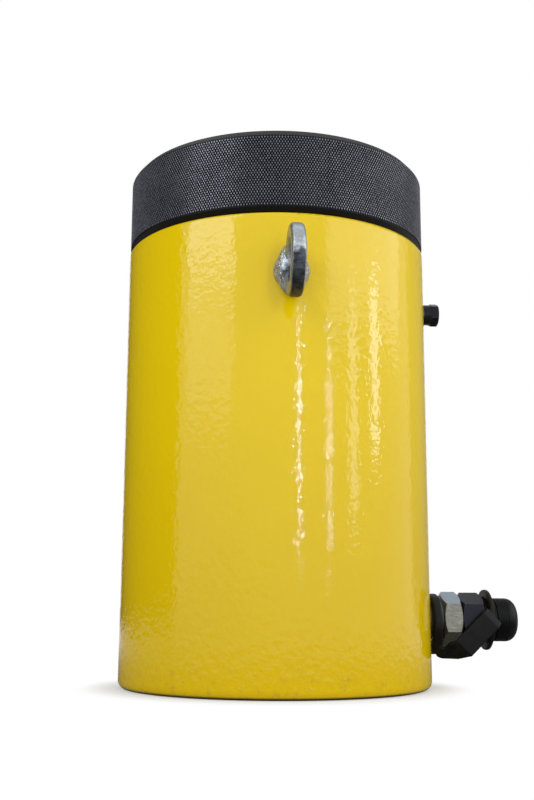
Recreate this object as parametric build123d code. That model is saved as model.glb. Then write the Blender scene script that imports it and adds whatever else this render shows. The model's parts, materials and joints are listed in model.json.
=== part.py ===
from build123d import *
import math
import os

# Lock nut hydraulic cylinder. Millimetres, +Z up, origin at the centre of the base face.
# The lifting eyes lie on -Y and +Y, and the oil port and the overflow port on +X.

# Barrel
body_d = 205.0
wall_t = 22.5
head_room = 35.5
base_t = 48.0
base_round = 5.5
top_round = 2.2
bore_lead = 2.0

# Lock nut and plunger thread, drawn at its pitch diameter
nut_set_back = 0.5
nut_h = 55.0
nut_top_chamfer = 4.3
nut_foot_chamfer = 3.9
bore_to_thread = 2.5
thread_pitch = 6.0
thread_crest_gap = 0.5
thread_clear = 0.08
stroke = 150.0

# Piston land, from its lower face up
land_h = 62.0
land_clear = 0.05
floor_gap = 2.0
land_chamfer = 1.5
shank_edge = 2.0
guide_w = 14.0
guide_t = 2.5
seal_w = 11.0
seal_t = 8.0
lip_t = 2.6
energiser_d = 2.4
energiser_set = 0.8
backup_w = 3.0
ring_gap = 4.0
groove_clear = 0.1

# Tilting saddle: a spherical boss under a disc, held by a screw and disc springs
seat_r = 60.0
seat_d = 84.0
seat_clear = 0.06
saddle_d = 100.0
saddle_gap = 6.0
saddle_disc_t = 10.0
saddle_tilt = 5.0
saddle_edge = 1.5
face_groove_w = 2.0
face_groove_depth = 1.0
face_groove_pitch = 6.0
face_rim = 4.0
saddle_floor_t = 2.0
screw_d = 12.0
screw_depth = 24.0
screw_head_d = 26.0
screw_head_h = 6.0
screw_socket_af = 8.0
screw_clear = 0.5
screw_bottom_gap = 1.0
screw_socket_depth = 4.0
screw_edge = 1.0
spring_d = 31.0
spring_t = 1.2
spring_cone = 1.6
spring_count = 2
spring_swing = 1.9
disc_gap = 0.02
wiper_d = 3.0
wiper_stand = 0.14
wiper_inset = 3.5

# Lifting eyebolts
eye_drop = 38.0
eye_ring_d = 45.0
eye_section = 10.0
eye_section_round = 3.2
eye_stand = 24.0
eye_collar_d = 24.5
eye_collar_t = 5.0
eye_collar_edge = 0.8
eye_neck_d = 15.0
eye_neck_rise = 5.0
eye_neck_flare = 3.0
eye_thread_d = 10.0
eye_thread_l = 17.0
bolt_clear = 0.05
port_clear = 0.05
hole_spare = 1.0

# How far a cutting shape runs past the face that it cuts
cut_over = 1.0

# Overflow port and its plug
overflow_bore_d = 6.0
plug_thread_d = 10.0
plug_thread_l = 12.0
plug_neck_d = 14.3
plug_neck_l = 6.3
plug_hex_af = 14.5
plug_hex_h = 6.0
plug_chamfer = 1.0
plug_washer_t = 1.5

# Oil port, nipple and quick coupler, along +X from the barrel's side
port_z = 44.0
neck_d = 24.8
neck_l = 9.0
shank_l = 16.0
shank_gap = 0.5
feed_d = 6.0
feed_reach = 36.0
adapter_hex_af = 32.0
adapter_hex_l = 12.0
adapter_bore_d = 8.0
spigot_d = 20.0
spigot_l = 10.0
hex_turn = -5.0
hex_chamfer = 1.6
hex_chamfer_reach = 1.05
joint_gap = 0.4
coupler_hex_af = 31.2
coupler_hex_l = 15.2
nose_d = 24.0
nose_l = 18.0
socket_d = 16.2
socket_depth = 7.0
socket_lead = 1.0
valve_chamber_d = 13.0
valve_seat_d = 9.0
valve_seat_t = 2.0
ball_d = 11.0
valve_spring_d = 9.0
valve_spring_wire = 1.0
valve_spring_turns = 4
retainer_t = 1.5
retainer_hole_d = 3.0
o_ring_d = 2.0
seal_squeeze = 0.05

# Dust cap and strap
cap_d = 28.6
cap_clear = 0.2
cap_skirt_l = 4.7
cap_neck_l = 3.8
cap_neck_d = 26.4
cap_end_round = 8.0
cap_length = 23.3
cap_rib_pitch = 1.45
cap_rib_count = 4
cap_rib_depth = 0.5
loop_d = 40.0
neck_loop_t = 6.0
neck_loop_gap = 0.8
cap_loop_t = 2.8
cap_loop_back = 0.1
band_foot_t = 3.2
neck_loop_bore = 30.6
cap_loop_gap = 0.35
band_w = 14.2
band_t = 2.8
band_clear = 0.9
band_leave = 60.0
band_slope = 44.0
band_bend_r = 3.0
band_run = 26.0
band_bow = 1.0
band_fold_back = 2.0
band_fold_r = 3.5
neck_loop_touch = 0.1

body_r = body_d / 2
bore_r = body_r - wall_t
nut_r = body_r - nut_set_back
thread_depth = thread_pitch / 2 + thread_crest_gap
plunger_foot = base_t + floor_gap
lower_ring_z = plunger_foot + land_chamfer + ring_gap
upper_ring_z = lower_ring_z + guide_w + ring_gap
seal_z = upper_ring_z + guide_w + ring_gap
overflow_z = seal_z + seal_w + stroke + overflow_bore_d / 2
body_h = overflow_z + head_room
nut_top = body_h + nut_h
eye_z = body_h - eye_drop
shank_r = bore_r - bore_to_thread
land_r = bore_r - land_clear
land_top = plunger_foot + land_h
seat_depth = seat_r - math.sqrt(seat_r**2 - (seat_d / 2) ** 2)
seat_centre_z = nut_top - seat_depth + seat_r
saddle_top = nut_top + saddle_gap + saddle_disc_t
hex_start = body_r + neck_l
coupler_start = hex_start + adapter_hex_l + joint_gap
nose_start = coupler_start + coupler_hex_l
nose_end = nose_start + nose_l
spigot_end = hex_start + adapter_hex_l + spigot_l
ball_seat_x = nose_end - socket_depth - valve_seat_t
ball_x = ball_seat_x - math.sqrt(ball_d**2 - valve_seat_d**2) / 2 - seal_squeeze
cap_start = nose_start + joint_gap


def outline(points):
    """A closed face on the XZ plane, given as radius and height."""
    return Plane.XZ * make_face(Polyline(*points, close=True))


def turned(points):
    """A body turned about Z from its half outline."""
    return revolve(outline(points), Axis.Z)


def band(outer_r, inner_r, low, high):
    """A plain ring about Z between two heights."""
    return turned([(inner_r, low), (outer_r, low), (outer_r, high), (inner_r, high)])


def cord_ring(centre_r, section_d, z):
    """A ring of round section about Z."""
    section = Plane.XZ * Pos(centre_r, z) * Circle(section_d / 2)
    return revolve(section, Axis.Z)


def along_x(shape, x=0.0, z=port_z):
    """Lays a shape made about Z along +X, its foot at x."""
    return Pos(x, 0, z) * Rot(0, 90, 0) * shape


def rod_x(diameter, start, end, z=port_z):
    """A round bar along +X."""
    blank = Cylinder(diameter / 2, end - start, align=(Align.CENTER, Align.CENTER, Align.MIN))
    return along_x(blank, start, z)


def hexagon_x(across_flats, start, length, z=port_z, chamfer_depth=hex_chamfer):
    """A hexagon bar along +X with turned corners on both ends."""
    corner_r = across_flats / math.sqrt(3)
    flats = RegularPolygon(across_flats / 2, 6, major_radius=False, rotation=hex_turn)
    bar = extrude(flats, length)
    drop = (corner_r - across_flats / 2) * hex_chamfer_reach
    rise = min(chamfer_depth, length / 3)
    turned_blank = turned(
        [
            (0, 0),
            (corner_r - drop, 0),
            (corner_r, rise),
            (corner_r, length - rise),
            (corner_r - drop, length),
            (0, length),
        ]
    )
    return along_x(bar & turned_blank, start, z)


def cylinder_body():
    """The barrel with its bore, oil port, feed drilling, overflow port and eyebolt holes."""
    shell = Cylinder(body_r, body_h, align=(Align.CENTER, Align.CENTER, Align.MIN))
    rims = shell.edges().filter_by(GeomType.CIRCLE).sort_by(Axis.Z)
    shell = fillet(rims[0], base_round)
    top_rim = shell.edges().filter_by(GeomType.CIRCLE).sort_by(Axis.Z)[-1]
    shell = fillet(top_rim, top_round)
    shell -= turned(
        [
            (0, base_t),
            (bore_r, base_t),
            (bore_r, body_h - bore_lead),
            (bore_r + bore_lead, body_h),
            (0, body_h),
        ]
    )
    shell -= rod_x(neck_d + 2 * port_clear, body_r - shank_l, body_r + cut_over)
    feed_x = body_r - feed_reach
    shell -= rod_x(feed_d, feed_x, body_r - shank_l + cut_over)
    riser = Cylinder(feed_d / 2, base_t - port_z + cut_over, align=(Align.CENTER, Align.CENTER, Align.MIN))
    shell -= Pos(feed_x, 0, port_z) * riser
    plug_hole_end = body_r - plug_thread_l - hole_spare
    shell -= rod_x(plug_thread_d + 2 * bolt_clear, plug_hole_end, body_r + cut_over, overflow_z)
    shell -= rod_x(overflow_bore_d, bore_r - cut_over, body_r, overflow_z)
    for side in (-90, 90):
        hole_end = body_r - eye_thread_l - hole_spare
        hole = rod_x(eye_thread_d + 2 * bolt_clear, hole_end, body_r + cut_over, eye_z)
        shell -= Rot(0, 0, side) * hole
    return shell


def lock_nut():
    """The ring nut, with its bore at the thread's pitch diameter."""
    r = nut_r
    bore = shank_r + thread_clear
    lead = thread_depth
    low, high = body_h, nut_top
    return turned(
        [
            (bore + lead, low),
            (r - nut_foot_chamfer, low),
            (r, low + nut_foot_chamfer),
            (r, high - nut_top_chamfer),
            (r - nut_top_chamfer, high),
            (bore + lead, high),
            (bore, high - lead),
            (bore, low + lead),
        ]
    )


def plunger():
    """The ram: grooved piston land, threaded shank and the saddle's spherical seat."""
    ram = turned(
        [
            (0, plunger_foot),
            (land_r - land_chamfer, plunger_foot),
            (land_r, plunger_foot + land_chamfer),
            (land_r, land_top - land_chamfer),
            (land_r - land_chamfer, land_top),
            (shank_r, land_top),
            (shank_r, nut_top - shank_edge),
            (shank_r - shank_edge, nut_top),
            (0, nut_top),
        ]
    )
    for start in (lower_ring_z, upper_ring_z):
        ram -= band(land_r + cut_over, bore_r - guide_t, start, start + guide_w)
    ram -= band(land_r + cut_over, bore_r - seal_t, seal_z, seal_z + seal_w + backup_w)
    ram -= Pos(0, 0, seat_centre_z) * Sphere(seat_r)
    groove_r, groove_z = wiper_place()
    ram -= cord_ring(groove_r, wiper_d + 2 * groove_clear, groove_z)
    thread_foot = nut_top - seat_depth - screw_depth
    return ram - band(screw_d / 2 + bolt_clear, 0, thread_foot, nut_top)


def wiper_place():
    """The radius and height of the wiper's centre, just outside the spherical seat."""
    reach = seat_r + wiper_d / 2 - wiper_stand
    angle = math.asin((seat_d / 2 - wiper_inset) / seat_r)
    return reach * math.sin(angle), seat_centre_z - reach * math.cos(angle)


def saddle_wiper():
    """The rubber ring in the seat's wall, clear of the sphere by a hair."""
    radius, height = wiper_place()
    ring = cord_ring(radius, wiper_d, height)
    return ring - Pos(0, 0, seat_centre_z) * Sphere(seat_r)


def guide_ring(start):
    """A bearing band on the piston land, running on the bore."""
    outer = bore_r - land_clear / 2
    inner = bore_r - guide_t + groove_clear
    return band(outer, inner, start + groove_clear, start + guide_w - groove_clear)


def piston_seal():
    """The U-cup, its lips facing the oil below."""
    outer = bore_r - land_clear / 2
    inner = bore_r - seal_t + groove_clear
    low, high = seal_z + groove_clear, seal_z + seal_w - groove_clear
    mouth = seal_z + energiser_d + energiser_set + groove_clear
    return turned(
        [
            (inner, low),
            (inner + lip_t, low),
            (inner + lip_t, mouth),
            (outer - lip_t, mouth),
            (outer - lip_t, low),
            (outer, low),
            (outer, high),
            (inner, high),
        ]
    )


def seal_energiser():
    """The O-ring that spreads the U-cup's lips."""
    centre = bore_r - (seal_t - groove_clear + land_clear / 2) / 2
    return cord_ring(centre, energiser_d, seal_z + energiser_d / 2 + energiser_set)


def backup_ring():
    """The hard ring that stops the U-cup from creeping into the gap."""
    low = seal_z + seal_w
    outer = bore_r - land_clear / 2
    inner = bore_r - seal_t + groove_clear
    return band(outer, inner, low, low + backup_w - groove_clear)


def saddle_levels():
    """Heights inside the saddle: its lowest face, the spring's floor and the screw head's underside."""
    foot = seat_centre_z - seat_r + seat_clear
    floor = foot + seat_depth - saddle_floor_t
    head = floor + spring_count * (spring_t + spring_cone) + spring_swing
    return foot, floor, head


def saddle_blank(foot):
    """The saddle's solid: a spherical boss from its foot up, under a bevelled disc."""
    ball_r = seat_r - seat_clear
    rim_z = seat_centre_z - math.sqrt(ball_r**2 - (seat_d / 2) ** 2)
    half_turn = math.asin(seat_d / 2 / ball_r) / 2
    middle = (ball_r * math.sin(half_turn), seat_centre_z - ball_r * math.cos(half_turn))
    disc_foot = saddle_top - saddle_disc_t
    bowl = ThreePointArc((0, foot), middle, (seat_d / 2, rim_z))
    rest = Polyline(
        (seat_d / 2, rim_z),
        (seat_d / 2, disc_foot),
        (saddle_d / 2 - saddle_edge, disc_foot),
        (saddle_d / 2, disc_foot + saddle_edge),
        (saddle_d / 2, saddle_top - saddle_edge),
        (saddle_d / 2 - saddle_edge, saddle_top),
        (0, saddle_top),
        (0, foot),
    )
    return revolve(Plane.XZ * make_face(bowl + rest), Axis.Z)


def tilt_saddle():
    """The load pad, with a counterbore for the screw and its springs and grooves in its face."""
    foot, floor, _ = saddle_levels()
    saddle = saddle_blank(foot)
    swing = math.radians(saddle_tilt)
    screw_gap = screw_d / 2 + seat_r * swing + screw_clear
    saddle -= band(screw_gap, 0, foot - cut_over, floor + cut_over)
    well_r = spring_d / 2 + (seat_centre_z - floor) * swing + screw_clear
    saddle -= band(well_r, 0, floor, saddle_top + cut_over)
    first_groove = well_r + face_rim
    groove_count = int((saddle_d / 2 - first_groove) / face_groove_pitch)
    for i in range(groove_count):
        inner = first_groove + i * face_groove_pitch
        groove_foot = saddle_top - face_groove_depth
        saddle -= band(inner + face_groove_w, inner, groove_foot, saddle_top + cut_over)
    return saddle


def saddle_screw():
    """The shouldered screw on the plunger's axis, with a hexagon socket."""
    foot, _, head = saddle_levels()
    shank_foot = nut_top - seat_depth - screw_depth + screw_bottom_gap
    screw = band(screw_d / 2, 0, shank_foot, head)
    screw += turned(
        [
            (0, head),
            (screw_head_d / 2, head),
            (screw_head_d / 2, head + screw_head_h - screw_edge),
            (screw_head_d / 2 - screw_edge, head + screw_head_h),
            (0, head + screw_head_h),
        ]
    )
    socket = extrude(RegularPolygon(screw_socket_af / 2, 6, major_radius=False), screw_head_h)
    return screw - Pos(0, 0, head + screw_head_h - screw_socket_depth) * socket


def saddle_spring():
    """Disc springs stacked face to face between the saddle's floor and the screw's head."""
    _, floor, _ = saddle_levels()
    inner = screw_d / 2 + screw_clear
    outer = spring_d / 2
    step = spring_t + spring_cone
    discs = []
    for i in range(spring_count):
        low = floor + disc_gap + i * step
        rise_in, rise_out = (spring_cone, 0) if i % 2 == 0 else (0, spring_cone)
        discs.append(
            turned(
                [
                    (inner, low + rise_in),
                    (outer, low + rise_out),
                    (outer, low + rise_out + spring_t - disc_gap),
                    (inner, low + rise_in + spring_t - disc_gap),
                ]
            )
        )
    return Compound(children=discs)


def eyebolt(side):
    """A forged eyebolt screwed into the barrel's side, its ring in the upright plane."""
    ring_r = (eye_ring_d - eye_section) / 2
    section = Plane.XZ * Pos(ring_r, 0) * RectangleRounded(eye_section, eye_section, eye_section_round)
    ring = Rot(90, 0, 0) * revolve(section, Axis.Z)
    ring = Pos(body_r + eye_stand, 0, eye_z) * ring
    stem = turned(
        [
            (0, 0),
            (eye_collar_d / 2 - eye_collar_edge, 0),
            (eye_collar_d / 2, eye_collar_edge),
            (eye_collar_d / 2, eye_collar_t - eye_collar_edge),
            (eye_collar_d / 2 - eye_collar_edge, eye_collar_t),
            (eye_neck_d / 2 + eye_neck_flare, eye_collar_t),
            (eye_neck_d / 2 + eye_neck_flare / 3, eye_collar_t + eye_neck_flare / 3),
            (eye_neck_d / 2, eye_collar_t + eye_neck_flare),
            (eye_neck_d / 2, eye_collar_t + eye_neck_rise),
            (0, eye_collar_t + eye_neck_rise),
        ]
    )
    stem = along_x(stem, body_r, eye_z)
    thread = rod_x(eye_thread_d, body_r - eye_thread_l, body_r + eye_collar_edge, eye_z)
    return Rot(0, 0, side) * (ring + stem + thread)


def overflow_plug():
    """The hexagon plug on its round neck, closing the overflow port."""
    seat = body_r + plug_washer_t
    plug = rod_x(plug_thread_d, body_r - plug_thread_l, seat + cut_over, overflow_z)
    plug += rod_x(plug_neck_d, seat, body_r + plug_neck_l, overflow_z)
    return plug + hexagon_x(plug_hex_af, body_r + plug_neck_l, plug_hex_h, overflow_z, plug_chamfer)


def overflow_washer():
    """The sealing washer between the barrel and the plug's neck."""
    ring = rod_x(plug_neck_d, body_r, body_r + plug_washer_t, overflow_z)
    hole_d = plug_thread_d + 2 * bolt_clear
    return ring - rod_x(hole_d, body_r - cut_over, body_r + plug_washer_t + cut_over, overflow_z)


def port_adapter():
    """The nipple: a shank in the oil port, an open neck, a hexagon and a spigot for the coupler."""
    nipple = rod_x(neck_d, body_r - shank_l + shank_gap, hex_start + cut_over)
    nipple += hexagon_x(adapter_hex_af, hex_start, adapter_hex_l)
    nipple += rod_x(spigot_d, hex_start + adapter_hex_l - cut_over, spigot_end)
    groove_x = spigot_end - 2 * o_ring_d
    nipple -= along_x(cord_ring(spigot_d / 2, o_ring_d + 2 * groove_clear, groove_x), 0)
    return nipple - rod_x(adapter_bore_d, body_r - shank_l, spigot_end + cut_over)


def coupler_seal():
    """The O-ring between the nipple's spigot and the coupler."""
    groove_x = spigot_end - 2 * o_ring_d
    ring = along_x(cord_ring(spigot_d / 2, o_ring_d, groove_x), 0)
    return ring & rod_x(spigot_d + 2 * bolt_clear - 0.02, hex_start, nose_end)


def coupler_body():
    """The coupler: a hexagon, a round nose, a valve chamber and the socket for the hose half."""
    shell = hexagon_x(coupler_hex_af, coupler_start, coupler_hex_l)
    shell += rod_x(nose_d, nose_start - cut_over, nose_end)
    shell -= rod_x(spigot_d + 2 * bolt_clear, coupler_start - cut_over, spigot_end + joint_gap)
    shell -= rod_x(valve_chamber_d, coupler_start, ball_seat_x)
    shell -= rod_x(valve_seat_d, coupler_start, nose_end)
    shell -= rod_x(socket_d, nose_end - socket_depth, nose_end + cut_over)
    mouth = turned([(0, 0), (socket_d / 2, 0), (socket_d / 2 + socket_lead, socket_lead), (0, socket_lead)])
    shell -= along_x(mouth, nose_end - socket_lead)
    groove_x = nose_end - socket_depth / 2
    return shell - along_x(cord_ring(socket_d / 2, o_ring_d + 2 * groove_clear, groove_x), 0)


def socket_seal():
    """The O-ring in the socket's wall, standing a little proud of it."""
    groove_x = nose_end - socket_depth / 2
    return along_x(cord_ring(socket_d / 2, o_ring_d, groove_x), 0)


def valve_retainer():
    """The drilled disc that the valve spring rests on."""
    start = spigot_end + joint_gap
    disc = rod_x(valve_chamber_d - 2 * bolt_clear, start, start + retainer_t)
    for turn in range(0, 360, 90):
        drill = Cylinder(retainer_hole_d / 2, 3 * retainer_t)
        hole = Rot(0, 0, turn) * Pos(valve_chamber_d / 4, 0, 0) * drill
        disc -= along_x(hole, start)
    return disc


def valve_spring_ends():
    """The two ends of the valve spring along X: the retainer's face and its ring on the ball."""
    start = spigot_end + joint_gap + retainer_t
    ring_r = (valve_spring_d - valve_spring_wire) / 2
    touch = math.sqrt((ball_d / 2 + valve_spring_wire / 2) ** 2 - ring_r**2)
    return start, ball_x - touch


def check_spring():
    """The coil spring that seats the ball."""
    low, high = valve_spring_ends()
    ring_r = (valve_spring_d - valve_spring_wire) / 2
    low += valve_spring_wire / 2 + 0.05
    pitch = (high - 0.05 - low) / valve_spring_turns
    path = Helix(pitch, high - 0.05 - low, ring_r)
    section = Plane(origin=path @ 0, z_dir=path % 0) * Circle(valve_spring_wire / 2)
    return along_x(sweep(section, path=path), low)


def check_ball():
    """The ball that closes the coupler when no hose is on."""
    return Pos(ball_x, 0, port_z) * Sphere(ball_d / 2)


def dust_cap():
    """The cap: a plain skirt under the strap's loop, a neck, ribs and a domed end."""
    r = cap_d / 2
    end = cap_length
    neck = cap_skirt_l + cap_neck_l
    half = [(nose_d / 2 + cap_clear, 0), (r, 0), (r, cap_skirt_l), (cap_neck_d / 2, cap_skirt_l)]
    half += [(cap_neck_d / 2, neck), (r, neck)]
    for i in range(cap_rib_count):
        low = neck + (i + 0.5) * cap_rib_pitch
        half += [(r, low), (r - cap_rib_depth, low + cap_rib_pitch * 0.25), (r, low + cap_rib_pitch * 0.5)]
    half.append((r, end - cap_end_round))
    crown = math.pi / 2
    steps = 6
    for i in range(1, steps + 1):
        turn = crown * i / steps
        half.append((r - cap_end_round * (1 - math.cos(turn)), end - cap_end_round * (1 - math.sin(turn))))
    half += [(0, end), (0, nose_l + joint_gap), (nose_d / 2 + cap_clear, nose_l + joint_gap)]
    return along_x(turned(half), cap_start)


def strap_loop(x, bore, thick, drop):
    """One moulded loop of the strap, square to the coupler's axis."""
    loop = along_x(band(loop_d / 2, bore / 2, 0, thick), x, port_z - drop)
    rims = loop.edges().filter_by(GeomType.CIRCLE)
    outer = [rim for rim in rims if rim.radius > (loop_d / 2 + bore / 2) / 2]
    return fillet(outer, thick / 4)


def strap_places():
    """The start of the neck loop and of the cap loop along X, and how far the neck loop hangs."""
    neck_loop_x = body_r + neck_loop_gap
    cap_loop_x = cap_start + cap_skirt_l - cap_loop_t - cap_loop_back
    drop = (neck_loop_bore - neck_d) / 2 - neck_loop_touch
    return neck_loop_x, cap_loop_x, drop


def band_stations():
    """The band's centres, directions, flat sides and sizes, from the neck loop to the cap loop.

    It leaves the neck loop downwards, bends to run outwards, slopes up in front of the
    hexagons and bends back into the cap loop's side.
    """
    neck_loop_x, cap_loop_x, drop = strap_places()
    out = Vector(1, 0, 0)
    back = Vector(0, 1, 0)
    leave = math.radians(band_leave)
    down = Vector(0, -math.cos(leave), -math.sin(leave))
    slope = math.radians(band_slope)
    up = Vector(math.cos(slope), 0, math.sin(slope))
    root_r = (loop_d - band_foot_t) / 2
    front = -(adapter_hex_af / math.sqrt(3) + band_clear + band_t / 2)
    low_x = neck_loop_x + neck_loop_t - band_foot_t / 2
    high_x = cap_loop_x + cap_loop_t / 2
    foot = Vector(low_x, 0, port_z - drop) + down * root_r
    bend = foot + (down + out) * band_bend_r
    half_bend = foot + down * (0.7 * band_bend_r) + out * (0.3 * band_bend_r)
    fold = Vector(high_x - band_fold_back, front, port_z)
    rise = fold - up * band_run
    half_twist = (bend + rise) * 0.5 - back * band_bow
    fold_end = fold + (up + back) * band_fold_r
    half_fold = fold + up * (0.7 * band_fold_r) + back * (0.3 * band_fold_r)
    return [
        (foot, down, out, band_foot_t, band_w * 0.75),
        (half_bend, down + out, out - down, band_t, band_w * 0.8),
        (bend, out, down * -1, band_t, band_w * 0.85),
        (half_twist, rise - bend, back - down, band_t, band_w * 0.95),
        (rise, up, back, band_t, band_w),
        (fold, up, back, band_t, band_w),
        (half_fold, up + back, back - up, band_t, band_w * 0.95),
        (fold_end, back, up * -1, band_t, band_w * 0.9),
    ]


def cap_strap():
    """The strap: a loop on the nipple's neck, a flat band in front of the hexagons, a loop on the cap."""
    neck_loop_x, cap_loop_x, drop = strap_places()
    strap = strap_loop(neck_loop_x, neck_loop_bore, neck_loop_t, drop)
    strap += strap_loop(cap_loop_x, cap_d + 2 * cap_loop_gap, cap_loop_t, 0)
    sections = []
    for centre, along, flat, thick, wide in band_stations():
        square = along.cross(flat).cross(along)
        sections.append(Plane(origin=centre, x_dir=square, z_dir=along) * Rectangle(thick, wide))
    return strap + loft(sections, ruled=True)


def write(name, shape):
    """Writes one sub-part under its own name."""
    export_step(shape, f"parts/{name}.step")
    print(name, round(shape.volume, 1))


os.makedirs("parts", exist_ok=True)
write("cylinder_body", cylinder_body())
write("lock_nut", lock_nut())
write("plunger", plunger())
write("lower_guide_ring", guide_ring(lower_ring_z))
write("upper_guide_ring", guide_ring(upper_ring_z))
write("piston_seal", piston_seal())
write("seal_energiser", seal_energiser())
write("backup_ring", backup_ring())
write("tilt_saddle", tilt_saddle())
write("saddle_wiper", saddle_wiper())
write("saddle_screw", saddle_screw())
write("saddle_spring", saddle_spring())
write("front_eyebolt", eyebolt(-90))
write("rear_eyebolt", eyebolt(90))
write("overflow_plug", overflow_plug())
write("overflow_washer", overflow_washer())
write("port_adapter", port_adapter())
write("coupler_seal", coupler_seal())
write("coupler_body", coupler_body())
write("socket_seal", socket_seal())
write("valve_retainer", valve_retainer())
write("check_spring", check_spring())
write("check_ball", check_ball())
write("dust_cap", dust_cap())
write("cap_strap", cap_strap())
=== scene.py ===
import json
import logging
import math
from collections.abc import Callable, Sequence
from dataclasses import dataclass
from enum import Enum

import bmesh
import bpy
from mathutils import Matrix, Vector


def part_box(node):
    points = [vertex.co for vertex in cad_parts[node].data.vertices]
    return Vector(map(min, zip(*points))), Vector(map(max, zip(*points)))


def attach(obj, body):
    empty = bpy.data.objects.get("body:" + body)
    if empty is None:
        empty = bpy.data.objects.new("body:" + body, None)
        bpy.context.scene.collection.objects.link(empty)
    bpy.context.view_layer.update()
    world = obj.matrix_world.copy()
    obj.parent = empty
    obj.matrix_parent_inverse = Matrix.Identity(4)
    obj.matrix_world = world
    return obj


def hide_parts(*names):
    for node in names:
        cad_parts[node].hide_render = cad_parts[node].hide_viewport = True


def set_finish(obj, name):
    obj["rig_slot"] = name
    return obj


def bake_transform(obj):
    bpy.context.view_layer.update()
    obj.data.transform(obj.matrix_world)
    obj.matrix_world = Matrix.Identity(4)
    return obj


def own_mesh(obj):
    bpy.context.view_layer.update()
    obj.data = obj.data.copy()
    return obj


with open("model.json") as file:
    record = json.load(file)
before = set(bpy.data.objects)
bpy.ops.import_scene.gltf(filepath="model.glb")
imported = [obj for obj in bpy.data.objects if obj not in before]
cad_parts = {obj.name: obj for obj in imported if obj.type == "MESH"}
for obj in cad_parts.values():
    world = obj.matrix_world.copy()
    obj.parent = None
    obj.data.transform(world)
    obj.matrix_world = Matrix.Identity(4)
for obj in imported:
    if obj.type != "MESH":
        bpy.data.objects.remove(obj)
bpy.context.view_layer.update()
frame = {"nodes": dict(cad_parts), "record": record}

log = logging.getLogger("cylinder")

Piece = bpy.types.Object
Socket = bpy.types.NodeSocket
Point = tuple[float, float, float]
Colour = tuple[float, float, float, float]
# A screen colour, each part from 0 to 255.
Tone = tuple[int, int, int]
# The two values between which something goes from nothing to full.
Range = tuple[float, float]
# A radius and a height, both in metres.
Station = tuple[float, float]

MM = 0.001
QUARTER_ABOUT_Y = Matrix.Rotation(math.pi / 2, 4, "Y")
WHITE: Colour = (1.0, 1.0, 1.0, 1.0)
# Points nearer to each other than this, in metres, are taken as one.
WELD = 1e-6
BEVEL_SAMPLES = 6
# The numbers of a Mix node's two colour inputs and of its colour output.
MIX_LOW, MIX_HIGH, MIXED = 6, 7, 2
# One less the dot product of the rounded normal and the face's own, near an edge and on it.
EDGE_RANGE: Range = (0.01, 0.16)


class Value:
    """A number in a material's node tree; arithmetic on it adds Math nodes."""

    def __init__(self, tree: "Tree", socket: Socket) -> None:
        """Holds the tree and one of its output sockets."""
        self.tree = tree
        self.socket = socket

    def _math(self, operation: str, left: "Value | float", right: "Value | float") -> "Value":
        """The result of one Math node."""
        node = self.tree.node("ShaderNodeMath", {"operation": operation}, {0: left, 1: right})
        return Value(self.tree, node.outputs[0])

    def __add__(self, other: "Value | float") -> "Value":
        """Sum."""
        return self._math("ADD", self, other)

    def __radd__(self, other: float) -> "Value":
        """Sum, with the plain number first."""
        return self._math("ADD", other, self)

    def __sub__(self, other: "Value | float") -> "Value":
        """Difference."""
        return self._math("SUBTRACT", self, other)

    def __rsub__(self, other: float) -> "Value":
        """Difference, with the plain number first."""
        return self._math("SUBTRACT", other, self)

    def __mul__(self, other: "Value | float") -> "Value":
        """Product."""
        return self._math("MULTIPLY", self, other)

    def __rmul__(self, other: float) -> "Value":
        """Product, with the plain number first."""
        return self._math("MULTIPLY", other, self)

    def root(self) -> "Value":
        """Square root."""
        return self._math("SQRT", self, 0.0)

    def larger(self, other: "Value | float") -> "Value":
        """The larger of two numbers."""
        return self._math("MAXIMUM", self, other)


class Axis(Enum):
    """The three axes, each with its place among a point's coordinates."""

    X = 0
    Y = 1
    Z = 2


@dataclass(frozen=True)
class Cloud:
    """A cloudy pattern.

    Attributes:
        size: the width of its spots in metres.
        detail: how many finer layers it has.
        rough: how strong those layers are.
        contrast: where it is stretched to 0 and to 1, if it is.
        stretch: how much longer the spots are along each axis.
    """

    size: float
    detail: float
    rough: float = 0.5
    contrast: Range | None = None
    stretch: tuple[float, ...] = (1, 1, 1)


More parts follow.
